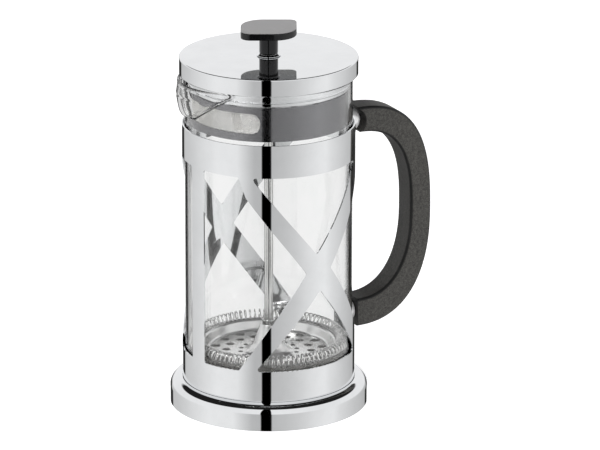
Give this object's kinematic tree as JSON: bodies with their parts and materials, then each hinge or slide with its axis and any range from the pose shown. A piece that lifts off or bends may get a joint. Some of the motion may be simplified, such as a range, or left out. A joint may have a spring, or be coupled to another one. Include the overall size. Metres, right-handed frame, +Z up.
{
  "type": "french press",
  "caption": "Glass coffee press in a pierced chrome sleeve, with a D-shaped handle, a turning lid with a strainer window and a sliding plunger with a coil-edged filter.",
  "frame": {"origin": "centre of the flat underside of the base", "axes": "+Z up along the plunger rod, +X towards the handle, -X towards the spout"},
  "size_m": [0.1589, 0.1146, 0.225],
  "materials": {
    "chrome": "polished",
    "steel": "polished",
    "dark_steel": "satin, darkened",
    "woven_steel": "fine weave",
    "brass": "turned",
    "glass": "clear",
    "grip_plastic": "fine grain",
    "knob_plastic": "satin top, glossy sides",
    "base_plastic": "matte",
    "silicone": "matte, milky"
  },
  "bodies": {
    "frame": {"base_shell": "chrome", "base_plate": "base_plastic", "beaker_seat": "silicone", "sleeve": "chrome", "handle": "grip_plastic", "handle_upper_boss": "chrome", "handle_lower_spacer": "chrome", "handle_upper_stud": "steel", "handle_lower_stud": "steel"},
    "beaker": {"beaker": "glass"},
    "guide": {"guide_bush": "chrome", "guide_nut": "steel"},
    "lid": {"lid_cover": "chrome", "lid_plug": "chrome", "strainer_collar": "dark_steel", "strainer_mesh": "woven_steel"},
    "plunger": {"plunger_rod": "steel", "knob": "knob_plastic", "knob_insert": "brass", "hub_collar": "steel", "spiral_plate": "steel", "coil_spring": "steel", "filter_mesh": "woven_steel", "cross_plate": "steel", "hub_nut": "steel"}
  },
  "joints": [
    {"name": "beaker_lift", "type": "slide", "parent": "frame", "child": "beaker", "axis": [0, 0, 1], "range_m": [0, 0.2]},
    {"name": "lid_lift", "type": "slide", "parent": "beaker", "child": "guide", "axis": [0, 0, 1], "range_m": [0, 0.2]},
    {"name": "lid_turn", "type": "hinge", "parent": "guide", "child": "lid", "pos_m": [0, 0, 0.208], "axis": [0, 0, 1], "continuous": true},
    {"name": "plunger_slide", "type": "slide", "parent": "guide", "child": "plunger", "axis": [0, 0, 1], "range_m": [0, 0.129]}
  ]
}
